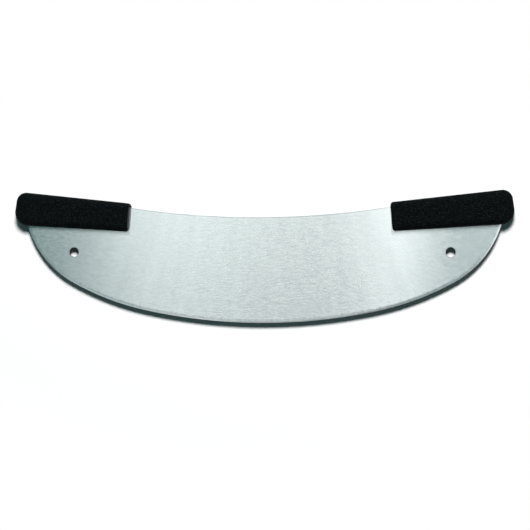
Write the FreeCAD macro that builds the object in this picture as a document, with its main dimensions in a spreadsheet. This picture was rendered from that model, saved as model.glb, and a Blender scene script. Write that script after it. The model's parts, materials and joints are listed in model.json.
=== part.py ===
import FreeCAD, Part
import math
import os
from enum import IntEnum

import Sketcher

# Rocking pizza knife: one curved steel blade with a moulded handle on each end.
#
# The knife lies flat on a table. X runs along its length, Y runs from the cutting edge
# to the spine, and Z is up. The origin is on the table, at the middle of the outline.
# The blade lies half way up the handles. Sizes are in millimetres and degrees.
#
# The bodies are drawn with the lowest point of the cutting edge at the sketches' origin
# and half of the knife's thickness on each side. Their placements set them on the table.

# Driving sizes: name, value and meaning.
SIZES = (
    ("blade_thick", 1.6, "thickness of the steel"),
    ("blade_depth", 106.4, "from the spine to the edge at the middle of the blade"),
    ("belly_radius", 569.9, "cutting edge, radius of its middle arc"),
    ("belly_angle", 11.8, "cutting edge, slope where the middle arc ends"),
    ("shoulder_radius", 281.0, "cutting edge, radius of the arcs beside the middle"),
    ("shoulder_angle", 28.9, "cutting edge, slope where those arcs end"),
    ("tip_radius", 97.2, "cutting edge, radius of the arcs at the ends"),
    ("bevel_width", 2.6, "width of the ground bevels on each face, together"),
    ("bevel_slope", 10.0, "slope of the shallow bevel next to the face"),
    ("edge_bevel_width", 1.3, "width of the steeper bevel along the edge"),
    ("edge_land", 0.3, "steel left between the two faces' bevels"),
    ("spine_radius", 884.6, "radius of the hollow spine"),
    ("spine_break", 0.25, "broken corners along the spine"),
    ("spine_cover", 4.2, "plastic above the spine where it enters a handle"),
    ("spine_tuck", 6.0, "length of the spine's curve inside each handle"),
    ("tang_cover", 5.0, "plastic above the outer corner of the tang"),
    ("tang_clip", 8.0, "corner cut off the tang, each way"),
    ("hang_hole", 9.5, "diameter of the hanging holes"),
    ("hang_hole_inset", 64.9, "hanging holes in from the handle's free end"),
    ("hang_hole_drop", 39.9, "hanging holes below the middle of the handle"),
    ("hole_break", 0.25, "broken corners round the hanging holes"),
    ("lock_hole", 8.0, "diameter of the tang holes that the plastic fills"),
    ("lock_hole_inset", 32.0, "first tang hole in from the handle's free end"),
    ("lock_hole_pitch", 28.0, "from one tang hole to the next"),
    ("handle_length", 120.0, "along the middle of the handle"),
    ("handle_inner_width", 28.8, "width at the end over the blade"),
    ("handle_outer_width", 34.4, "width at the free end"),
    ("handle_thick", 19.0, "thickness of the handle"),
    ("handle_side_flat", 5.0, "straight band at the parting line between the rounds"),
    ("handle_tilt", 4.73, "angle that the handle rises by towards its free end"),
    ("handle_overhang", 8.0, "free end of the handle past the end of the blade"),
    ("handle_end_lean", 3.5, "lean of the free end from square to the handle"),
    ("upper_corner_extra", 3.0, "upper free corner's radius over the edge round"),
    ("lower_corner_extra", 6.5, "lower free corner's radius over the edge round"),
    ("inner_end_round", 3.0, "rounded rim of the end over the blade"),
)
LOCK_HOLE_COUNT = 3

# Places that several features share, worked out from the driving sizes.
PLACES = (
    # Centres of the right side's edge arcs.
    ("shoulder_x", "(sizes.belly_radius - sizes.shoulder_radius) * sin(sizes.belly_angle)"),
    ("shoulder_y", "sizes.belly_radius"
                   " - (sizes.belly_radius - sizes.shoulder_radius) * cos(sizes.belly_angle)"),
    ("tip_x", "shoulder_x"
              " + (sizes.shoulder_radius - sizes.tip_radius) * sin(sizes.shoulder_angle)"),
    ("tip_y", "shoulder_y"
              " - (sizes.shoulder_radius - sizes.tip_radius) * cos(sizes.shoulder_angle)"),
    # Where the right side's edge arcs meet.
    ("belly_end_x", "sizes.belly_radius * sin(sizes.belly_angle)"),
    ("shoulder_end_x", "shoulder_x + sizes.shoulder_radius * sin(sizes.shoulder_angle)"),
    # Centre of the spine's arc.
    ("spine_y", "sizes.blade_depth + sizes.spine_radius"),
    # Middle of the right handle's free end, and its other end.
    ("blade_end_x", "tip_x + sizes.tip_radius"),
    ("handle_x", "blade_end_x + sizes.handle_overhang"),
    ("inner_end_x", "handle_x - sizes.handle_length * cos(sizes.handle_tilt)"),
    ("inner_top_y", "spine_y - sqrt(sizes.spine_radius ^ 2 - inner_end_x ^ 2)"
                    " + sizes.spine_cover"),
    ("handle_y", "inner_top_y - sizes.handle_inner_width / 2 * cos(sizes.handle_tilt)"
                 " + sizes.handle_length * sin(sizes.handle_tilt)"),
    # Where the spine ends inside the right handle, and the corners of the clipped tang.
    ("tuck_x", "inner_end_x + sizes.spine_tuck"),
    ("tang_x", "blade_end_x - sizes.tang_clip"),
    ("tang_y", "handle_y - sizes.handle_overhang * sin(sizes.handle_tilt)"
               " + (sizes.handle_outer_width / 2 - sizes.tang_cover) * cos(sizes.handle_tilt)"),
    ("clip_y", "tang_y - sizes.tang_clip"),
    # Depths of the bevels at the outline and where they meet.
    ("edge_depth", "(sizes.blade_thick - sizes.edge_land) / 2"),
    ("meet_depth", "(sizes.bevel_width - sizes.edge_bevel_width) * tan(sizes.bevel_slope)"),
    # How far in the edge bevel alone would come, and what the shallow bevel takes off
    # its slope and off the blade's face.
    ("edge_bevel_reach", "sizes.edge_bevel_width * edge_depth / (edge_depth - meet_depth)"),
    ("bevel_run", "sqrt((edge_bevel_reach - sizes.edge_bevel_width) ^ 2 + meet_depth ^ 2)"),
    ("bevel_reach", "sizes.bevel_width - edge_bevel_reach"),
    # Round of the handle's long edges, and the bodies' place.
    ("edge_round", "(sizes.handle_thick - sizes.handle_side_flat) / 2"),
    ("frame_y", "-(handle_y + sizes.handle_outer_width / 2) / 2"),
    ("frame_z", "sizes.handle_thick / 2"),
)


class Axis(IntEnum):
    """Numbers that a sketch gives to its own axes."""

    X = -1
    Y = -2


class Spot(IntEnum):
    """Numbers that a sketch gives to the points of a line or an arc."""

    START = 1
    END = 2
    CENTRE = 3


ORIGIN = (Axis.X, Spot.START)
UP = FreeCAD.Vector(0, 0, 1)
DOWNWARDS = math.radians(270)
TOLERANCE = 1e-4


def make_sheet(doc):
    """Fill the sheet of driving sizes."""
    sizes = doc.addObject("Spreadsheet::Sheet", "sizes")
    for row, (name, value, meaning) in enumerate(SIZES, start=1):
        sizes.set(f"A{row}", meaning)
        sizes.set(f"B{row}", str(value))
        sizes.setAlias(f"B{row}", name)
    doc.recompute()
    return sizes


def make_places(doc):
    """Work out the shared places from the sheet."""
    places = doc.addObject("App::VarSet", "places")
    for name, formula in PLACES:
        places.addProperty("App::PropertyFloat", name)
    for name, formula in PLACES:
        places.setExpression(name, formula)
    doc.recompute()
    return places


def origin_plane(body, role):
    """Return one of the body's own origin planes."""
    planes = [item for item in body.Origin.OriginFeatures if item.Role == role]
    return (planes[0], [""])


def flat_sketch(body, name):
    """Add a sketch on the body's own XY plane."""
    sketch = body.newObject("Sketcher::SketchObject", name)
    sketch.AttachmentSupport = origin_plane(body, "XY_Plane")
    sketch.MapMode = "FlatFace"
    return sketch


def hold(sketch, kind, *where):
    """Add a constraint without a dimension to a sketch."""
    sketch.addConstraint(Sketcher.Constraint(kind, *where))


def drive(sketch, name, kind, where, value, expression):
    """Add a dimension to a sketch and tie it to the sheet."""
    index = sketch.addConstraint(Sketcher.Constraint(kind, *where, value))
    sketch.renameConstraint(index, name)
    sketch.setExpression(f"Constraints.{name}", expression)


def add_line(sketch, start, end):
    """Draw a line between two points of a sketch."""
    return sketch.addGeometry(Part.LineSegment(start, end))


def add_arc(sketch, centre, radius, from_slope, to_slope):
    """Draw an arc of a circle between two slopes of its underside."""
    circle = Part.Circle(FreeCAD.Vector(*centre, 0), UP, radius)
    return sketch.addGeometry(
        Part.ArcOfCircle(circle, DOWNWARDS + from_slope, DOWNWARDS + to_slope)
    )


def add_circle(sketch, centre, diameter):
    """Draw a circle."""
    return sketch.addGeometry(Part.Circle(FreeCAD.Vector(*centre, 0), UP, diameter / 2))


def follow_handle(item, placement):
    """Place an item at the right handle's free end, turned along the handle."""
    setattr(item, placement, FreeCAD.Placement(FreeCAD.Vector(), FreeCAD.Rotation(UP, 1)))
    item.setExpression(f"{placement}.Base.x", "places.handle_x")
    item.setExpression(f"{placement}.Base.y", "places.handle_y")
    item.setExpression(f"{placement}.Rotation.Angle", "sizes.handle_tilt")


def thick_pad(body, name, sketch, expression):
    """Pad a sketch by half a thickness to each side."""
    pad = body.newObject("PartDesign::Pad", name)
    pad.Profile = sketch
    pad.SideType = "Symmetric"
    pad.setExpression("Length", expression)
    body.Document.recompute()
    return pad


def through_pocket(body, name, sketch):
    """Cut a sketch right through the body, both ways."""
    pocket = body.newObject("PartDesign::Pocket", name)
    pocket.Profile = sketch
    pocket.Type = "ThroughAll"
    pocket.SideType = "Symmetric"
    body.Document.recompute()
    return pocket


def round_edges(body, name, base, wanted, expression):
    """Round the edges of a feature that a test picks out."""
    fillet = body.newObject("PartDesign::Fillet", name)
    fillet.Base = (base, edge_names(base, wanted))
    fillet.setExpression("Radius", expression)
    body.Document.recompute()
    return fillet


def break_edges(body, name, base, wanted, depth, width):
    """Chamfer the edges of a feature that a test picks out, by a depth and a width."""
    chamfer = body.newObject("PartDesign::Chamfer", name)
    chamfer.Base = (base, edge_names(base, wanted))
    chamfer.ChamferType = "Two distances"
    chamfer.setExpression("Size", depth)
    chamfer.setExpression("Size2", width)
    body.Document.recompute()
    return chamfer


def edge_names(feature, wanted):
    """Name the edges of a feature that a test picks out."""
    edges = enumerate(feature.Shape.Edges, start=1)
    return [f"Edge{number}" for number, edge in edges if wanted(edge)]


def middle(edge):
    """Return the point half way along an edge."""
    return edge.valueAt((edge.FirstParameter + edge.LastParameter) / 2)


def is_at_height(edge, height):
    """Tell whether an edge lies on a face at this height above or below the middle."""
    return abs(abs(middle(edge).z) - height) < TOLERANCE


def is_round(edge, radius):
    """Tell whether an edge is an arc of this radius."""
    return isinstance(edge.Curve, Part.Circle) and abs(edge.Curve.Radius - radius) < TOLERANCE


def is_upright(edge):
    """Tell whether an edge is a straight line across the thickness."""
    return isinstance(edge.Curve, Part.Line) and abs(edge.Curve.Direction.z) > 1 - TOLERANCE


def draw_cutting_edge(sketch, sizes, places):
    """Draw the cutting edge from left to right: five arcs that meet smoothly."""
    belly_slope = math.radians(sizes.belly_angle)
    shoulder_slope = math.radians(sizes.shoulder_angle)
    end_slope = math.acos((places.tip_y - places.clip_y) / sizes.tip_radius)
    belly = add_arc(sketch, (0, sizes.belly_radius), sizes.belly_radius,
                    -belly_slope, belly_slope)
    left_shoulder = add_arc(sketch, (-places.shoulder_x, places.shoulder_y),
                            sizes.shoulder_radius, -shoulder_slope, -belly_slope)
    right_shoulder = add_arc(sketch, (places.shoulder_x, places.shoulder_y),
                             sizes.shoulder_radius, belly_slope, shoulder_slope)
    left_tip = add_arc(sketch, (-places.tip_x, places.tip_y), sizes.tip_radius,
                       -end_slope, -shoulder_slope)
    right_tip = add_arc(sketch, (places.tip_x, places.tip_y), sizes.tip_radius,
                        shoulder_slope, end_slope)

    arcs = (left_tip, left_shoulder, belly, right_shoulder, right_tip)
    for first, second in zip(arcs, arcs[1:]):
        hold(sketch, "Coincident", first, Spot.END, second, Spot.START)
    hold(sketch, "PointOnObject", belly, Spot.CENTRE, Axis.Y)
    hold(sketch, "Horizontal", belly, Spot.START, belly, Spot.END)
    for left, right in ((left_shoulder, right_shoulder), (left_tip, right_tip)):
        hold(sketch, "Symmetric", left, Spot.CENTRE, right, Spot.CENTRE, Axis.Y)
        hold(sketch, "Horizontal", left, Spot.START, right, Spot.END)
    drive(sketch, "belly_radius", "Radius", (belly,), sizes.belly_radius,
          "sizes.belly_radius")
    drive(sketch, "belly_centre", "DistanceY", (*ORIGIN, belly, Spot.CENTRE), sizes.belly_radius,
          "sizes.belly_radius")
    for name, kind, where in (
        ("belly_end_x", "DistanceX", (belly, Spot.END)),
        ("shoulder_x", "DistanceX", (right_shoulder, Spot.CENTRE)),
        ("shoulder_y", "DistanceY", (right_shoulder, Spot.CENTRE)),
        ("shoulder_end_x", "DistanceX", (right_shoulder, Spot.END)),
        ("tip_x", "DistanceX", (right_tip, Spot.CENTRE)),
        ("tip_y", "DistanceY", (right_tip, Spot.CENTRE)),
        ("clip_y", "DistanceY", (right_tip, Spot.END)),
    ):
        drive(sketch, name, kind, (*ORIGIN, *where), getattr(places, name), f"places.{name}")
    return (left_tip, Spot.START), (right_tip, Spot.END)


def draw_spine(sketch, sizes, places):
    """Draw the hollow spine from left to right, a little way into both handles."""
    slope = math.asin(places.tuck_x / sizes.spine_radius)
    spine = add_arc(sketch, (0, places.spine_y), sizes.spine_radius, -slope, slope)
    hold(sketch, "PointOnObject", spine, Spot.CENTRE, Axis.Y)
    hold(sketch, "Horizontal", spine, Spot.START, spine, Spot.END)
    drive(sketch, "spine_radius", "Radius", (spine,), sizes.spine_radius,
          "sizes.spine_radius")
    drive(sketch, "spine_centre", "DistanceY", (*ORIGIN, spine, Spot.CENTRE), places.spine_y,
          "places.spine_y")
    drive(sketch, "spine_end", "DistanceX", (*ORIGIN, spine, Spot.END), places.tuck_x,
          "places.tuck_x")
    return (spine, Spot.START), (spine, Spot.END)


def draw_blade(body, sizes, places):
    """Draw the blade: cutting edge, hollow spine and a tang with a clipped corner each side."""
    sketch = flat_sketch(body, "blade_outline")
    edge_ends = draw_cutting_edge(sketch, sizes, places)
    spine_ends = draw_spine(sketch, sizes, places)
    corners = []
    for side, edge_end, spine_end in zip((-1, 1), edge_ends, spine_ends):
        tang_corner = FreeCAD.Vector(side * places.tang_x, places.tang_y)
        clip = add_line(sketch, sketch.getPoint(*edge_end), tang_corner)
        top = add_line(sketch, tang_corner, sketch.getPoint(*spine_end))
        hold(sketch, "Coincident", *edge_end, clip, Spot.START)
        hold(sketch, "Coincident", clip, Spot.END, top, Spot.START)
        hold(sketch, "Coincident", top, Spot.END, *spine_end)
        corners.append((clip, Spot.END))
    left_corner, right_corner = corners
    hold(sketch, "Symmetric", *left_corner, *right_corner, Axis.Y)
    drive(sketch, "tang_x", "DistanceX", (*ORIGIN, *right_corner), places.tang_x,
          "places.tang_x")
    drive(sketch, "tang_y", "DistanceY", (*ORIGIN, *right_corner), places.tang_y,
          "places.tang_y")
    return sketch


def draw_hang_hole(body, sizes):
    """Draw the right hanging hole, below the handle."""
    sketch = flat_sketch(body, "hang_hole_outline")
    follow_handle(sketch, "AttachmentOffset")
    centre = (-sizes.hang_hole_inset, -sizes.hang_hole_drop)
    hole = add_circle(sketch, centre, sizes.hang_hole)
    drive(sketch, "diameter", "Diameter", (hole,), sizes.hang_hole, "sizes.hang_hole")
    drive(sketch, "inset", "DistanceX", (hole, Spot.CENTRE, *ORIGIN), sizes.hang_hole_inset,
          "sizes.hang_hole_inset")
    drive(sketch, "drop", "DistanceY", (hole, Spot.CENTRE, *ORIGIN), sizes.hang_hole_drop,
          "sizes.hang_hole_drop")
    return sketch


def draw_lock_holes(body, sizes):
    """Draw the right tang's holes in a row along the middle of the handle."""
    sketch = flat_sketch(body, "lock_hole_outline")
    follow_handle(sketch, "AttachmentOffset")
    for number in range(LOCK_HOLE_COUNT):
        inset = sizes.lock_hole_inset + number * sizes.lock_hole_pitch
        hole = add_circle(sketch, (-inset, 0), sizes.lock_hole)
        hold(sketch, "PointOnObject", hole, Spot.CENTRE, Axis.X)
        drive(sketch, f"diameter_{number}", "Diameter", (hole,), sizes.lock_hole,
              "sizes.lock_hole")
        drive(sketch, f"inset_{number}", "DistanceX", (hole, Spot.CENTRE, *ORIGIN), inset,
              f"sizes.lock_hole_inset + {number} * sizes.lock_hole_pitch")
    return sketch


def make_blade(doc, sizes, places):
    """Build the blade: stamped sheet, ground edge, hanging holes and tang holes."""
    body = doc.addObject("PartDesign::Body", "blade")
    body.setExpression("Placement.Base.y", "places.frame_y")
    body.setExpression("Placement.Base.z", "places.frame_z")

    def is_on_face(edge):
        return is_at_height(edge, sizes.blade_thick / 2)

    def follows_edge(edge, inset):
        radii = (sizes.belly_radius, sizes.shoulder_radius, sizes.tip_radius)
        return is_on_face(edge) and any(is_round(edge, radius - inset) for radius in radii)

    def is_cutting_edge(edge):
        return follows_edge(edge, 0)

    def is_bevel_rim(edge):
        return follows_edge(edge, places.edge_bevel_reach)

    def is_spine(edge):
        return is_on_face(edge) and is_round(edge, sizes.spine_radius)

    def is_hang_hole(edge):
        is_low = middle(edge).y < places.inner_top_y - sizes.handle_inner_width
        return is_low and is_on_face(edge) and is_round(edge, sizes.hang_hole / 2)

    plate = thick_pad(body, "plate", draw_blade(body, sizes, places), "sizes.blade_thick")
    edge_bevel = break_edges(body, "edge_bevel", plate, is_cutting_edge,
                             "places.edge_depth", "places.edge_bevel_reach")
    bevel = break_edges(body, "bevel", edge_bevel, is_bevel_rim,
                        "places.bevel_run", "places.bevel_reach")
    break_edges(body, "spine_break", bevel, is_spine,
                "sizes.spine_break", "sizes.spine_break")
    hang_hole = through_pocket(body, "hang_hole_cut", draw_hang_hole(body, sizes))
    lock_holes = through_pocket(body, "lock_hole_cut", draw_lock_holes(body, sizes))
    both_sides = body.newObject("PartDesign::Mirrored", "both_sides")
    both_sides.Originals = [hang_hole, lock_holes]
    both_sides.MirrorPlane = origin_plane(body, "YZ_Plane")
    body.Tip = both_sides
    doc.recompute()
    break_edges(body, "hole_break", both_sides, is_hang_hole,
                "sizes.hole_break", "sizes.hole_break")
    return body


def draw_handle(body, sizes):
    """Draw a handle from above, its free end at the origin and the rest towards minus X."""
    length = sizes.handle_length
    half_inner = sizes.handle_inner_width / 2
    half_outer = sizes.handle_outer_width / 2
    lean = half_outer * math.tan(math.radians(sizes.handle_end_lean))
    corners = [FreeCAD.Vector(-length, -half_inner), FreeCAD.Vector(lean, -half_outer),
               FreeCAD.Vector(-lean, half_outer), FreeCAD.Vector(-length, half_inner)]
    sketch = flat_sketch(body, "handle_outline")
    sides = [add_line(sketch, corners[n], corners[(n + 1) % 4]) for n in range(4)]
    for first, second in zip(sides, sides[1:] + sides[:1]):
        hold(sketch, "Coincident", first, Spot.END, second, Spot.START)
    lower, free_end, upper, inner_end = sides
    hold(sketch, "Symmetric", free_end, Spot.START, free_end, Spot.END, *ORIGIN)
    hold(sketch, "Symmetric", inner_end, Spot.START, inner_end, Spot.END, Axis.X)
    drive(sketch, "length", "DistanceX", (inner_end, Spot.START, *ORIGIN), length,
          "sizes.handle_length")
    drive(sketch, "inner_width", "DistanceY", (inner_end, Spot.END, inner_end, Spot.START),
          2 * half_inner, "sizes.handle_inner_width")
    drive(sketch, "outer_width", "DistanceY", (free_end, Spot.START, free_end, Spot.END),
          2 * half_outer, "sizes.handle_outer_width")
    drive(sketch, "end_lean", "DistanceX", (free_end, Spot.END, free_end, Spot.START), 2 * lean,
          "sizes.handle_outer_width * tan(sizes.handle_end_lean)")
    return sketch


def make_handle_blank(doc, sizes, places):
    """Build the right handle's outside, before the blade takes its room in it."""
    body = doc.addObject("PartDesign::Body", "handle_blank")
    follow_handle(body, "Placement")
    body.setExpression("Placement.Base.y", "places.handle_y + places.frame_y")
    body.setExpression("Placement.Base.z", "places.frame_z")

    def is_at_inner_end(edge):
        return abs(middle(edge).x + sizes.handle_length) < TOLERANCE

    def is_upper_corner(edge):
        return is_upright(edge) and not is_at_inner_end(edge) and middle(edge).y > 0

    def is_lower_corner(edge):
        return is_upright(edge) and not is_at_inner_end(edge) and middle(edge).y < 0

    def is_rim(edge):
        return is_at_height(edge, sizes.handle_thick / 2) and not is_at_inner_end(edge)

    block = thick_pad(body, "block", draw_handle(body, sizes), "sizes.handle_thick")
    corner = round_edges(body, "upper_corner", block, is_upper_corner,
                         "places.edge_round + sizes.upper_corner_extra")
    corner = round_edges(body, "lower_corner", corner, is_lower_corner,
                         "places.edge_round + sizes.lower_corner_extra")
    rim = round_edges(body, "edge_round", corner, is_rim, "places.edge_round")
    round_edges(body, "inner_end_round", rim, is_at_inner_end, "sizes.inner_end_round")
    return body


def make_handles(doc, blade, blank):
    """Mould the right handle round its tang, and make the left one its mirror image."""
    right = doc.addObject("Part::Cut", "right_handle")
    right.Base = blank
    right.Tool = blade
    left = doc.addObject("Part::Mirroring", "left_handle")
    left.Source = right
    left.Normal = FreeCAD.Vector(1, 0, 0)
    doc.recompute()
    return left, right


def check_build(doc, pieces):
    """Stop if an object failed, a sketch isn't held or a piece isn't one valid solid."""
    failed = [item.Name for item in doc.Objects if {"Invalid", "Error"} & set(item.State)]
    sketches = [item for item in doc.Objects if item.isDerivedFrom("Sketcher::SketchObject")]
    loose = [sketch.Name for sketch in sketches if not sketch.FullyConstrained]
    if failed or loose:
        raise RuntimeError(f"failed: {failed}, sketches that aren't held: {loose}")
    for piece in pieces:
        shape = piece.Shape
        if shape.isNull() or not shape.isValid() or len(shape.Solids) != 1:
            raise RuntimeError(f"{piece.Label} isn't one valid solid")


def main():
    """Build the knife and write each piece to its own file."""
    doc = FreeCAD.newDocument("rocking_pizza_knife")
    sizes = make_sheet(doc)
    places = make_places(doc)
    blade = make_blade(doc, sizes, places)
    blank = make_handle_blank(doc, sizes, places)
    pieces = (blade, *make_handles(doc, blade, blank))
    check_build(doc, pieces)
    os.makedirs("parts", exist_ok=True)
    for piece in pieces:
        piece.Shape.exportStep(f"parts/{piece.Label}.step")
        print(piece.Label, round(piece.Shape.Volume), piece.Shape.BoundBox)


main()
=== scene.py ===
import json
import math
from typing import NamedTuple

import bpy
from bpy.props import FloatProperty, FloatVectorProperty, PointerProperty
from bpy.types import Operator, Panel, PropertyGroup
from mathutils import Matrix, Vector


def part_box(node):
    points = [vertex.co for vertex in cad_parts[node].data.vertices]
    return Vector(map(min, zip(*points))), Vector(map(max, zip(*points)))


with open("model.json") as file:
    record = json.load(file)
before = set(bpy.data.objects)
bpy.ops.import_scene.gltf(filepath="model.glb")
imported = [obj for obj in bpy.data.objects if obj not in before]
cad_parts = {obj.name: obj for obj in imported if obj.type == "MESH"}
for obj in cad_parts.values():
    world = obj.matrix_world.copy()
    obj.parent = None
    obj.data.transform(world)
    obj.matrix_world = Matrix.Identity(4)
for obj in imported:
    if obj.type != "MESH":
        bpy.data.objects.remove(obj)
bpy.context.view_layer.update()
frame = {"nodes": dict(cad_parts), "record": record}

# Rocking pizza knife: the finish of its steel blade and moulded handles, on a white
# table in soft studio light. The knife lies flat: X runs along it, Y from the cutting
# edge to the spine, Z up. Lengths are in metres.

bl_info = {
    "name": "Rocking pizza knife",
    "version": (1, 0, 0),
    "blender": (4, 5, 0),
    "location": "3D View > Sidebar > Pizza Knife",
    "description": "Dresses a two-handled rocking pizza knife and sets it on a white table",
    "category": "Object",
}

MM = 0.001
WHITE = (1.0, 1.0, 1.0)

# The picture that the camera takes, and the camera's own measures.
IMAGE_SIDE = 530
SENSOR_WIDTH = 36.0
FOCAL_PIXELS = 1400.0

# The blade: its box, its depth in the middle, the arc of its hollow spine and its bevel.
BLADE_LOW, BLADE_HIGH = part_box("blade")
BLADE_DEPTH = 106.4 * MM
SPINE_RADIUS = 884.6 * MM
BEVEL_WIDTH = 2.6 * MM
# Where the spine goes into the handles.
SPINE_END_Y = 49.8 * MM

# The right one of the two hanging holes.
MOUNTS = {mount["name"]: mount for mount in frame["record"]["mounts"]}
HANG_HOLE = MOUNTS["hang_hole_right"]
HANG_HOLE_X, HANG_HOLE_Y, _ = HANG_HOLE["pos_m"]
HANG_HOLE_RADIUS = HANG_HOLE["dims"]["r_mm"] * MM

# The handles. The right one's lower edge starts this far out from its inner end, and
# rises outwards. The mould parts in the middle plane of the blade.
HANDLE_NODES = ("left_handle", "right_handle")
HANDLE_LOW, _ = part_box("right_handle")
HANDLE_EDGE_INSET = 5.2 * MM
HANDLE_EDGE_SLOPE = math.radians(3.43)
PARTING_HEIGHT = (BLADE_LOW.z + BLADE_HIGH.z) / 2


class EdgeArc(NamedTuple):
    """One arc of the cutting edge, and the slope of the edge where the arc starts."""

    radius: float
    start_slope: float


# The right half of the cutting edge, from the middle of the blade to its end.
EDGE_ARCS = (
    EdgeArc(569.9 * MM, 0.0),
    EdgeArc(281.0 * MM, math.radians(11.8)),
    EdgeArc(97.2 * MM, math.radians(28.9)),
)


class DarkMark(NamedTuple):
    """A dark line or patch on the steel: its tone, and the gaps from it between which it fades to bare
    steel.
    """

    tone: float
    fade_start: float
    fade_end: float


# The marks on the steel: painted shade along the line at the top of the bevel, the spine's darker rim,
# a painted shadow under a handle's lower edge, and painted shade on the wall and broken rim of a
# hanging hole.
BEVEL_LINE_SHADE = DarkMark(0.88, 0.1 * MM, 0.5 * MM)
SPINE_RIM = DarkMark(0.86, 0.7 * MM, 1.6 * MM)
HANDLE_PAINTED_SHADOW = DarkMark(0.77, 0.0, 6 * MM)
HOLE_WALL_SHADE = DarkMark(0.30, 0.15 * MM, 0.35 * MM)
BEVEL_LINE_DEPTH = 1.15 * BEVEL_WIDTH
# The painted shadow comes in between these places, counted outwards from a handle's inner corner.
PAINTED_SHADOW_SIDE = (-6 * MM, -3 * MM)
# The grinding marks of the bevel come in between these depths from the cutting edge.
GRINDING_SIDE = (1.9 * BEVEL_WIDTH, 1.1 * BEVEL_WIDTH)

# The steel's grain: the pits' share beside the lines, the noise that counts as darkest and
# lightest, how far tone and roughness go up and down, and the strength of the relief.
PIT_SHARE = 0.5
STEEL_GRAIN_LIMITS = (0.25, 0.75)
GRAIN_TONE_SWAY = 0.12
BAND_TONE_SWAY = 0.07
STEEL_ROUGHNESS_SWAY = 0.03
STEEL_BUMP = 0.5

# The plastic's grain is drawn out along the handle, and its peaks are pale specks.
PLASTIC_GRAIN_STRETCH = (1.3, 0.9, 0.9)
SPECK_LIMITS = (0.50, 0.75)
SPECK_GAIN = 8.0
PLASTIC_ROUGHNESS_SWAY = 0.15
PLASTIC_BUMP = 0.6
# A handle's inner end is told by the outward part of its normal, which is below zero there.
# Its gloss comes in between these parts, and fades out where the spine meets the handle.
INNER_END_FACING = (-0.93, -0.98)
INNER_END_FADE = 0.3 * MM
# The mould's seam fades out between these heights off the parting plane. Its depth is
# counted in depths of the grain.
SEAM_SIDE = (0.08 * MM, 0.25 * MM)
SEAM_DEPTH = 1.5

# The table's colour keeps this share for light that has bounced before. The table turns
# into the backdrop between two distances from its middle, in an oval that is this many
# times as long along X as along Y.
TABLE_BOUNCE = 0.3
TABLE_FADE = (0.30, 0.42)
OVAL_LENGTH = 2.0


class StudioPanel(NamedTuple):
    """A lit or dark panel above the knife that the steel mirrors, in slopes from straight up."""

    centre: tuple
    half: tuple
    blur: float
    colour: tuple


# The studio that the steel mirrors: a ceiling, walls that come in between two slopes, and
# panels. Later panels hang in front of earlier ones. Slopes end just above the horizon.
ROOM_COLOUR = (1.06, 1.06, 1.06)
WALL_COLOUR = (0.34, 0.38, 0.38)
WALL_SLOPES = (0.9, 2.8)
LEAST_RISE = 0.02
STUDIO_PANELS = {
    "softbox": StudioPanel((-0.16, 0.40), (0.22, 0.70), 0.03, (1.34, 1.38, 1.38)),
    "left_strip": StudioPanel((-0.245, 0.40), (0.055, 0.70), 0.05, (1.72, 1.80, 1.80)),
    "dim_strip": StudioPanel((-0.105, 0.40), (0.020, 0.70), 0.02, (1.13, 1.18, 1.17)),
    "bright_strip": StudioPanel((-0.0495, 0.40), (0.0165, 0.70), 0.010, (3.52, 3.50, 3.50)),
    "corner_card": StudioPanel((-1.40, -0.60), (1.00, 0.40), 0.10, (0.02, 0.10, 0.10)),
    "haze": StudioPanel((-0.60, -0.60), (0.25, 0.40), 0.10, (0.40, 0.48, 0.48)),
    "foot_card": StudioPanel((-0.08, -0.90), (0.22, 0.25), 0.06, (0.04, 0.09, 0.09)),
    "front_card": StudioPanel((-0.20, -0.195), (0.20, 0.185), 0.03, (0.00, 0.03, 0.03)),
    "low_card": StudioPanel((0.42, -0.66), (0.40, 0.28), 0.05, (0.00, 0.03, 0.03)),
    "left_card": StudioPanel((-1.64, 0.27), (1.361, 0.56), 0.035, (0.00, 0.11, 0.10)),
    "right_card": StudioPanel((0.197, 0.37), (0.235, 0.73), 0.012, (0.11, 0.19, 0.19)),
    "right_glow": StudioPanel((0.24, 0.48), (0.22, 0.62), 0.05, (0.94, 1.05, 1.05)),
    "side_strip": StudioPanel((0.68, 0.085), (0.18, 0.415), 0.03, (1.60, 1.60, 1.60)),
}


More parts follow.
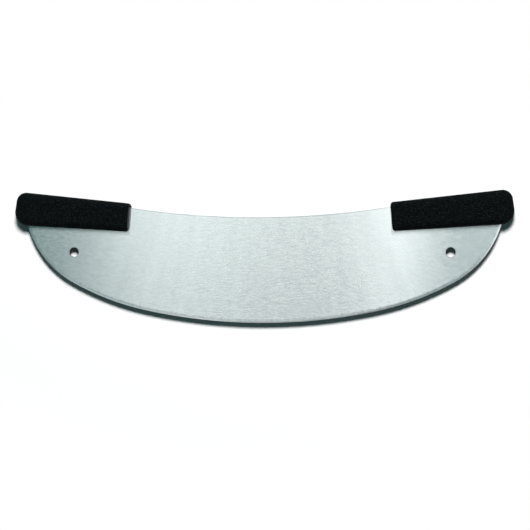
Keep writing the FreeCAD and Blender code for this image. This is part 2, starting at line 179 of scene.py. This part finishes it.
class BladeFinish(PropertyGroup):
    """Colour and grain of the steel."""

    steel: FloatVectorProperty(
        name="Steel", description="Colour of the steel",
        subtype="COLOR", size=3, min=0.0, max=1.0, default=(0.77, 0.82, 0.82))
    metallic: FloatProperty(
        name="Metallic", description="How metallic the steel is",
        subtype="FACTOR", min=0.0, max=1.0, default=0.80)
    roughness: FloatProperty(
        name="Roughness", description="Mean roughness of the satin faces",
        subtype="FACTOR", min=0.0, max=1.0, default=0.205)
    brushing: FloatProperty(
        name="Brushing", description="How far the brushing draws reflections out",
        subtype="FACTOR", min=0.0, max=1.0, default=0.92)
    line_width: FloatProperty(
        name="Line width", description="Width of a brushed line",
        subtype="DISTANCE", unit="LENGTH", default=0.9 * MM)
    line_length: FloatProperty(
        name="Line length", description="Length of a brushed line",
        subtype="DISTANCE", unit="LENGTH", default=5 * MM)
    line_depth: FloatProperty(
        name="Line depth", description="Depth of the brushed lines and grinding marks",
        subtype="DISTANCE", unit="LENGTH", default=0.004 * MM)
    pit_size: FloatProperty(
        name="Pit size", description="Size of a pit among the brushed lines",
        subtype="DISTANCE", unit="LENGTH", default=1.17 * MM)
    hatch_width: FloatProperty(
        name="Hatch width", description="Width of a grinding mark on the bevel",
        subtype="DISTANCE", unit="LENGTH", default=0.9 * MM)
    hatch_length: FloatProperty(
        name="Hatch length", description="Length of a grinding mark across the bevel",
        subtype="DISTANCE", unit="LENGTH", default=8 * MM)
    band_width: FloatProperty(
        name="Band width", description="Width of a soft band, along the cutting edge",
        subtype="DISTANCE", unit="LENGTH", default=14 * MM)
    band_length: FloatProperty(
        name="Band length", description="Length of a soft band, in from the cutting edge",
        subtype="DISTANCE", unit="LENGTH", default=160 * MM)


class HandleFinish(PropertyGroup):
    """Colour and grain of the moulded plastic."""

    plastic: FloatVectorProperty(
        name="Plastic", description="Colour of the plastic",
        subtype="COLOR", size=3, min=0.0, max=1.0, default=(0.0020, 0.0028, 0.0031))
    roughness: FloatProperty(
        name="Roughness", description="Mean roughness of the moulded faces",
        subtype="FACTOR", min=0.0, max=1.0, default=0.62)
    specular: FloatProperty(
        name="Specular", description="Strength of reflections on the moulded faces",
        subtype="FACTOR", min=0.0, max=1.0, default=0.025)
    grain: FloatProperty(
        name="Grain", description="Size of the moulded sand grain",
        subtype="DISTANCE", unit="LENGTH", default=1.1 * MM)
    grain_depth: FloatProperty(
        name="Grain depth", description="Depth of the moulded sand grain",
        subtype="DISTANCE", unit="LENGTH", default=0.06 * MM)
    end_gloss: FloatProperty(
        name="End gloss", description="Gloss of the inner ends, where the mould shuts on the steel",
        subtype="FACTOR", min=0.0, max=1.0, default=0.28)
    end_roughness: FloatProperty(
        name="End roughness", description="Roughness of the gloss on the inner ends",
        subtype="FACTOR", min=0.0, max=1.0, default=0.25)


class StageSetting(PropertyGroup):
    """Table, light and camera."""

    table: FloatVectorProperty(
        name="Table", description="Colour of the table",
        subtype="COLOR", size=3, min=0.0, max=1.0, default=(0.95, 0.95, 0.95))
    table_side: FloatProperty(
        name="Table side", description="Side of the square table",
        subtype="DISTANCE", unit="LENGTH", default=12.0)
    fill: FloatVectorProperty(
        name="Fill", description="Colour of the light that fills the shadows",
        subtype="COLOR", size=3, min=0.0, max=1.0, default=(0.51, 0.98, 1.0))
    fill_strength: FloatProperty(
        name="Fill strength", description="Strength of the light that fills the shadows",
        min=0.0, default=0.065)
    key_power: FloatProperty(
        name="Key power", description="Power of the key lamp",
        subtype="POWER", unit="POWER", default=12.6)
    key_tilt: FloatProperty(
        name="Key tilt", description="Tilt of the key lamp from straight above, to the spine's side",
        subtype="ANGLE", unit="ROTATION", default=math.radians(31))
    key_size: FloatProperty(
        name="Key size", description="Diameter of the key lamp",
        subtype="DISTANCE", unit="LENGTH", default=0.45)
    camera_aim: FloatVectorProperty(
        name="Camera aim", description="Point on the blade that the camera looks at",
        subtype="TRANSLATION", unit="LENGTH", size=3, default=(6.6 * MM, -8.5 * MM, BLADE_HIGH.z))
    camera_yaw: FloatProperty(
        name="Camera yaw", description="Turn of the camera to the right of straight above",
        subtype="ANGLE", unit="ROTATION", default=math.radians(8.6))
    camera_roll: FloatProperty(
        name="Camera roll", description="Turn of the camera about its own line of sight",
        subtype="ANGLE", unit="ROTATION", default=math.radians(0.1))
    camera_reach: FloatProperty(
        name="Camera reach", description="From the camera to the point that it looks at",
        subtype="DISTANCE", unit="LENGTH", default=1.408)


class NodeBoard:
    """A node tree with short ways to add and join nodes."""

    # Where a mix node has its factor, its two inputs and its output, for numbers and for colours.
    NUMBER_INPUTS = (0, 2, 3)
    NUMBER_OUTPUT = 0
    COLOUR_INPUTS = (0, 6, 7)
    COLOUR_OUTPUT = 2

    def __init__(self, tree):
        self.tree = tree
        tree.nodes.clear()

    def add(self, kind, *values, **settings):
        """Add a node, set its properties and feed its inputs in their order."""
        node = self.tree.nodes.new(kind)
        for name, setting in settings.items():
            setattr(node, name, setting)
        for value, socket in zip(values, node.inputs):
            self.feed(value, socket)
        return node

    def feed(self, value, socket):
        """Join an output to an input, or set the input to a plain value."""
        if isinstance(value, bpy.types.NodeSocket):
            self.tree.links.new(value, socket)
        else:
            socket.default_value = value

    def math(self, operation, *values):
        """Work out a number from others."""
        return self.add("ShaderNodeMath", *values, operation=operation).outputs["Value"]

    def product(self, first, *others):
        """Multiply numbers."""
        for other in others:
            first = self.math("MULTIPLY", first, other)
        return first

    def distance(self, value, middle):
        """Return how far a number is from a middle."""
        return self.math("ABSOLUTE", self.math("SUBTRACT", value, middle))

    def sway(self, share, middle, reach):
        """Turn a share from 0 to 1 into a number from a reach below a middle to one above it."""
        return self.math("MULTIPLY_ADD", share, 2 * reach, middle - reach)

    def remap(self, value, low, high, to_low=0.0, to_high=1.0):
        """Ease a number from one range into another, and hold it at the ends."""
        node = self.add("ShaderNodeMapRange", value, low, high, to_low, to_high,
                        interpolation_type="SMOOTHSTEP")
        return node.outputs["Result"]

    def mix(self, share, first, second):
        """Mix two numbers: the first at a share of 0, the second at a share of 1."""
        node = self.add("ShaderNodeMix", data_type="FLOAT")
        for index, value in zip(self.NUMBER_INPUTS, (share, first, second)):
            self.feed(value, node.inputs[index])
        return node.outputs[self.NUMBER_OUTPUT]

    def tint(self, share, first, second, kind="MIX"):
        """Mix two colours: the first at a share of 0, the second at a share of 1."""
        node = self.add("ShaderNodeMix", data_type="RGBA", blend_type=kind)
        for index, value in zip(self.COLOUR_INPUTS, (share, first, second)):
            self.feed(value, node.inputs[index])
        return node.outputs[self.COLOUR_OUTPUT]

    def combine(self, *values):
        """Make a vector from numbers."""
        return self.add("ShaderNodeCombineXYZ", *values).outputs["Vector"]

    def split(self, vector):
        """Return the three numbers of a vector."""
        return tuple(self.add("ShaderNodeSeparateXYZ", vector).outputs)

    def length(self, *values):
        """Return the length of the vector that the numbers make."""
        node = self.add("ShaderNodeVectorMath", self.combine(*values), operation="LENGTH")
        return node.outputs["Value"]

    def noise(self, vector, cell, detail=2.0):
        """Return cloudy noise from 0 to 1 whose cells have the given sizes along the axes."""
        mapping = self.add("ShaderNodeMapping", vector, vector_type="POINT")
        for axis, size in enumerate(cell):
            mapping.inputs["Scale"].default_value[axis] = 1.0 / size
        node = self.add("ShaderNodeTexNoise", mapping.outputs["Vector"], noise_dimensions="3D")
        node.inputs["Scale"].default_value = 1.0
        node.inputs["Detail"].default_value = detail
        return node.outputs["Fac"]

    def bump(self, height, depth, strength):
        """Return the normals of a surface with a relief of the given depth."""
        node = self.add("ShaderNodeBump", strength, depth)
        self.feed(height, node.inputs["Height"])
        return node.outputs["Normal"]

    def principled(self, sockets):
        """Return a principled shader with the named inputs fed."""
        node = self.add("ShaderNodeBsdfPrincipled")
        for name, value in sockets.items():
            self.feed(value, node.inputs[name])
        return node.outputs["BSDF"]

    def mix_shaders(self, share, first, second):
        """Mix two shaders: the first at a share of 0, the second at a share of 1."""
        return self.add("ShaderNodeMixShader", share, first, second).outputs["Shader"]

    def show(self, shader, kind="ShaderNodeOutputMaterial"):
        """Make a shader the output of the tree."""
        self.add(kind, shader)


def rgba(colour):
    """Give a colour the solid alpha that sockets ask for."""
    return (*colour, 1.0)


def new_material(name):
    """Make an empty material."""
    material = bpy.data.materials.new(name)
    material.use_nodes = True
    return material, NodeBoard(material.node_tree)


def edge_coordinates(board, place):
    """Return the run along the cutting edge from its middle, and the depth in from it."""
    x, y, _ = board.split(place)
    side = board.math("ABSOLUTE", x)
    centre = Vector((0.0, BLADE_LOW.y))
    last_radius = 0.0
    run = depth = run_shift = 0.0
    for arc in EDGE_ARCS:
        # Two arcs join smoothly, so their centres lie on one normal and the run goes on.
        growth = arc.radius - last_radius
        centre += growth * Vector((-math.sin(arc.start_slope), math.cos(arc.start_slope)))
        run_shift -= growth * arc.start_slope
        last_radius = arc.radius
        out = board.math("SUBTRACT", side, centre.x)
        down = board.math("SUBTRACT", centre.y, y)
        slope = board.math("ARCTAN2", out, down)
        arc_run = board.math("MULTIPLY_ADD", slope, arc.radius, run_shift)
        arc_depth = board.math("SUBTRACT", arc.radius, board.length(out, down))
        before = board.math("LESS_THAN", slope, arc.start_slope)
        run = board.mix(before, arc_run, run)
        depth = board.mix(before, arc_depth, depth)
    return run, depth


def spine_depth(board, place):
    """Return the depth in from the spine."""
    x, y, _ = board.split(place)
    down = board.math("SUBTRACT", BLADE_LOW.y + BLADE_DEPTH + SPINE_RADIUS, y)
    return board.math("SUBTRACT", board.length(x, down), SPINE_RADIUS)


def handle_gap(board, place):
    """Return how far a place is past a handle's inner corner, and how far below its lower edge."""
    x, y, _ = board.split(place)
    out = board.math("SUBTRACT", board.math("ABSOLUTE", x), HANDLE_LOW.x + HANDLE_EDGE_INSET)
    edge = board.math("MULTIPLY_ADD", out, math.tan(HANDLE_EDGE_SLOPE), HANDLE_LOW.y)
    return out, board.math("SUBTRACT", edge, y)


def hole_gap(board, place):
    """Return how far a place is outside the wall of the nearer hanging hole."""
    x, y, _ = board.split(place)
    out = board.math("SUBTRACT", board.math("ABSOLUTE", x), HANG_HOLE_X)
    up = board.math("SUBTRACT", y, HANG_HOLE_Y)
    return board.math("SUBTRACT", board.length(out, up), HANG_HOLE_RADIUS)


def darkened(board, gap, mark):
    """Return the tone that a dark mark leaves at a gap from it. 1 is bare steel."""
    return board.remap(gap, mark.fade_start, mark.fade_end, mark.tone, 1.0)


def steel_grain(board, finish, place, along_edge, depth):
    """Return the grain from 0 to 1: lines and pits on the faces, grinding marks on the bevel."""
    length, width = finish.line_length, finish.line_width
    lines = board.noise(place, (length, width, width), detail=3.0)
    pits = board.noise(place, (finish.pit_size,) * 3, detail=1.0)
    brushed = board.mix(PIT_SHARE, lines, pits)
    hatch = board.noise(along_edge, (finish.hatch_width, finish.hatch_length))
    ground = board.remap(depth, *GRINDING_SIDE)
    return board.remap(board.mix(ground, brushed, hatch), *STEEL_GRAIN_LIMITS)


def steel_tone(board, finish, place, along_edge, depth, grain):
    """Return how light the steel is, with its grain, soft bands, the spine's darker rim, and painted
    shade at the bevel's top, under the handles and in the hanging holes.
    """
    bands = board.noise(along_edge, (finish.band_width, finish.band_length))
    out, below = handle_gap(board, place)
    beside = board.remap(out, *PAINTED_SHADOW_SIDE)
    return board.product(
        board.sway(grain, 1.0, GRAIN_TONE_SWAY),
        board.sway(bands, 1.0, BAND_TONE_SWAY),
        # Painted shade along the line at the top of the bevel.
        darkened(board, board.distance(depth, BEVEL_LINE_DEPTH), BEVEL_LINE_SHADE),
        darkened(board, spine_depth(board, place), SPINE_RIM),
        # Painted shadow below each handle's lower edge, fading out over 6 mm and coming in past its
        # inner corner.
        board.mix(beside, 1.0, darkened(board, below, HANDLE_PAINTED_SHADOW)),
        # Painted shade on the wall and broken rim of each hanging hole.
        darkened(board, hole_gap(board, place), HOLE_WALL_SHADE),
    )


def steel_material(finish):
    """Satin steel: brushed lines along the faces, grinding marks across the bevel."""
    material, board = new_material("brushed_blade_steel")
    place = board.add("ShaderNodeTexCoord").outputs["Object"]
    run, depth = edge_coordinates(board, place)
    along_edge = board.combine(run, depth)
    grain = steel_grain(board, finish, place, along_edge, depth)
    tone = steel_tone(board, finish, place, along_edge, depth, grain)
    shade = board.combine(tone, tone, tone)
    tangent = board.add("ShaderNodeTangent", direction_type="RADIAL", axis="X")
    board.show(board.principled({
        "Base Color": board.tint(1.0, rgba(finish.steel), shade, "MULTIPLY"),
        "Metallic": finish.metallic,
        "Roughness": board.sway(grain, finish.roughness, STEEL_ROUGHNESS_SWAY),
        "Anisotropic": finish.brushing,
        "Tangent": tangent.outputs["Tangent"],
        "Normal": board.bump(grain, finish.line_depth, STEEL_BUMP),
    }))
    return material


def plastic_material(finish):
    """Black moulded plastic with a sand grain, a faint mould seam and glossy inner ends."""
    material, board = new_material("moulded_handle_plastic")
    texture = board.add("ShaderNodeTexCoord")
    place, normal = texture.outputs["Object"], texture.outputs["Normal"]
    x, y, z = board.split(place)
    cell = [stretch * finish.grain for stretch in PLASTIC_GRAIN_STRETCH]
    grain = board.noise(place, cell, detail=3.0)
    specks = board.remap(grain, *SPECK_LIMITS)
    pale = rgba(SPECK_GAIN * part for part in finish.plastic)
    outward = board.math("MULTIPLY", board.math("SIGN", x), board.split(normal)[0])
    shut = board.remap(outward, *INNER_END_FACING, 0.0, finish.end_gloss)
    over_steel = board.remap(y, SPINE_END_Y + INNER_END_FADE, SPINE_END_Y - INNER_END_FADE)
    seam = board.remap(board.distance(z, PARTING_HEIGHT), *SEAM_SIDE, -SEAM_DEPTH, 0.0)
    board.show(board.principled({
        "Base Color": board.tint(specks, rgba(finish.plastic), pale),
        "Roughness": board.sway(grain, finish.roughness, PLASTIC_ROUGHNESS_SWAY),
        "Specular IOR Level": finish.specular,
        "Coat Weight": board.product(shut, over_steel),
        "Coat Roughness": finish.end_roughness,
        "Normal": board.bump(board.math("ADD", grain, seam), finish.grain_depth, PLASTIC_BUMP),
    }))
    return material


def seen(board):
    """Return 1 for rays from the camera, from metal and through glass, and 0 for lighting."""
    path = board.add("ShaderNodeLightPath").outputs
    gloss = board.math("MAXIMUM", path["Is Glossy Ray"], path["Is Transmission Ray"])
    return board.math("MAXIMUM", path["Is Camera Ray"], gloss)


def table_material(setting):
    """Matt white that turns into a white backdrop away from the knife."""
    material, board = new_material("white_table")
    bounces = board.add("ShaderNodeLightPath").outputs["Diffuse Depth"]
    dimmed = rgba(TABLE_BOUNCE * part for part in setting.table)
    colour = board.tint(board.math("MINIMUM", bounces, 1.0), rgba(setting.table), dimmed)
    x, y, _ = board.split(board.add("ShaderNodeTexCoord").outputs["Object"])
    away = board.remap(board.length(x, board.math("MULTIPLY", y, OVAL_LENGTH)), *TABLE_FADE)
    board.show(board.mix_shaders(
        board.product(away, seen(board)),
        board.add("ShaderNodeBsdfDiffuse", colour).outputs["BSDF"],
        board.add("ShaderNodeEmission", rgba(WHITE)).outputs["Emission"],
    ))
    return material


def studio_colour(board):
    """Return the colour of the studio in each direction from the knife."""
    x, y, z = board.split(board.add("ShaderNodeTexCoord").outputs["Generated"])
    rise = board.math("MAXIMUM", z, LEAST_RISE)
    slopes = (board.math("DIVIDE", x, rise), board.math("DIVIDE", y, rise))
    low = board.remap(board.length(*slopes), *WALL_SLOPES)
    colour = board.tint(low, rgba(ROOM_COLOUR), rgba(WALL_COLOUR))
    for panel in STUDIO_PANELS.values():
        masks = []
        for slope, centre, half in zip(slopes, panel.centre, panel.half):
            off = board.distance(slope, centre)
            masks.append(board.remap(off, half + panel.blur, half - panel.blur))
        colour = board.tint(board.product(*masks), colour, rgba(panel.colour))
    return colour


class KNIFE_OT_dress_blade(Operator):
    """Give the blade its satin steel"""

    bl_idname = "knife.dress_blade"
    bl_label = "Dress blade"

    def execute(self, context):
        frame["nodes"]["blade"].data.materials[0] = steel_material(context.scene.knife_blade)
        return {"FINISHED"}


class KNIFE_OT_dress_handles(Operator):
    """Give both handles their moulded plastic"""

    bl_idname = "knife.dress_handles"
    bl_label = "Dress handles"

    def execute(self, context):
        plastic = plastic_material(context.scene.knife_handle)
        for name in HANDLE_NODES:
            frame["nodes"][name].data.materials[0] = plastic
        return {"FINISHED"}


class KNIFE_OT_set_stage(Operator):
    """Set the white table, the light and the camera"""

    bl_idname = "knife.set_stage"
    bl_label = "Set stage"

    def execute(self, context):
        scene = context.scene
        setting = scene.knife_stage
        scene.view_settings.view_transform = "Standard"
        self.lay_table(setting)
        self.light_world(scene, setting)
        camera = self.place_camera(scene, setting)
        self.hang_key(scene, setting, camera)
        return {"FINISHED"}

    def lay_table(self, setting):
        """Lay the table that the knife lies on."""
        # Nothing stays selected, so that only the new table is.
        bpy.ops.object.select_all(action="DESELECT")
        bpy.ops.mesh.primitive_plane_add(size=setting.table_side)
        table = bpy.context.object
        table.name = "table"
        table.data.materials.append(table_material(setting))

    def light_world(self, scene, setting):
        """White to the camera, a room with panels to the steel, and a faint cool fill for lighting."""
        world = bpy.data.worlds.new("studio")
        scene.world = world
        world.use_nodes = True
        board = NodeBoard(world.node_tree)
        is_camera = board.add("ShaderNodeLightPath").outputs["Is Camera Ray"]
        view = board.tint(is_camera, studio_colour(board), rgba(WHITE))
        studio = board.add("ShaderNodeBackground", view)
        fill = board.add("ShaderNodeBackground", rgba(setting.fill), setting.fill_strength)
        light = board.mix_shaders(
            seen(board), fill.outputs["Background"], studio.outputs["Background"])
        board.show(light, "ShaderNodeOutputWorld")

    def place_camera(self, scene, setting):
        """Camera above the knife, a little to the right."""
        lens = bpy.data.cameras.new("camera")
        lens.sensor_width = SENSOR_WIDTH
        lens.lens = FOCAL_PIXELS / IMAGE_SIDE * SENSOR_WIDTH
        camera = bpy.data.objects.new("camera", lens)
        aim = Matrix.Translation(setting.camera_aim)
        yaw = Matrix.Rotation(setting.camera_yaw, 4, "Y")
        reach = Matrix.Translation((0.0, 0.0, setting.camera_reach))
        roll = Matrix.Rotation(setting.camera_roll, 4, "Z")
        camera.matrix_world = aim @ yaw @ reach @ roll
        scene.collection.objects.link(camera)
        scene.camera = camera
        return camera

    def hang_key(self, scene, setting, camera):
        """Key lamp level with the camera, so that shadows fall straight down the picture."""
        lamp = bpy.data.lights.new("key", "AREA")
        lamp.shape = "DISK"
        lamp.size = setting.key_size
        lamp.energy = setting.key_power
        lamp.use_nodes = True
        board = NodeBoard(lamp.node_tree)
        # The lamp lights near and far places alike.
        even = board.add("ShaderNodeLightFalloff", 1.0).outputs["Constant"]
        glow = board.add("ShaderNodeEmission", rgba(WHITE), even).outputs["Emission"]
        board.show(glow, "ShaderNodeOutputLight")
        key = bpy.data.objects.new("key", lamp)
        eye = camera.matrix_world.translation
        key.location = eye + Vector((0.0, eye.z * math.tan(setting.key_tilt), 0.0))
        key.rotation_euler = key.location.to_track_quat("Z", "Y").to_euler()
        # The steel mirrors the studio, and not the lamp.
        key.visible_glossy = False
        scene.collection.objects.link(key)


class KNIFE_PT_sidebar(Panel):
    """Lists the steps that dress the knife"""

    bl_label = "Pizza knife"
    bl_idname = "KNIFE_PT_sidebar"
    bl_space_type = "VIEW_3D"
    bl_region_type = "UI"
    bl_category = "Pizza Knife"

    def draw(self, context):
        for operator in OPERATORS:
            self.layout.operator(operator.bl_idname)


SETTINGS = {
    "knife_blade": BladeFinish,
    "knife_handle": HandleFinish,
    "knife_stage": StageSetting,
}
OPERATORS = (KNIFE_OT_dress_blade, KNIFE_OT_dress_handles, KNIFE_OT_set_stage)


def register():
    """Register the settings, the operators and the panel."""
    for name, group in SETTINGS.items():
        bpy.utils.register_class(group)
        setattr(bpy.types.Scene, name, PointerProperty(type=group))
    for operator in OPERATORS:
        bpy.utils.register_class(operator)
    bpy.utils.register_class(KNIFE_PT_sidebar)


def unregister():
    """Take back all that register made."""
    bpy.utils.unregister_class(KNIFE_PT_sidebar)
    for operator in reversed(OPERATORS):
        bpy.utils.unregister_class(operator)
    for name, group in reversed(SETTINGS.items()):
        delattr(bpy.types.Scene, name)
        bpy.utils.unregister_class(group)


def main():
    """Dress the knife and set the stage."""
    register()
    bpy.ops.knife.dress_blade()
    bpy.ops.knife.dress_handles()
    bpy.ops.knife.set_stage()


if __name__ == "__main__":
    main()
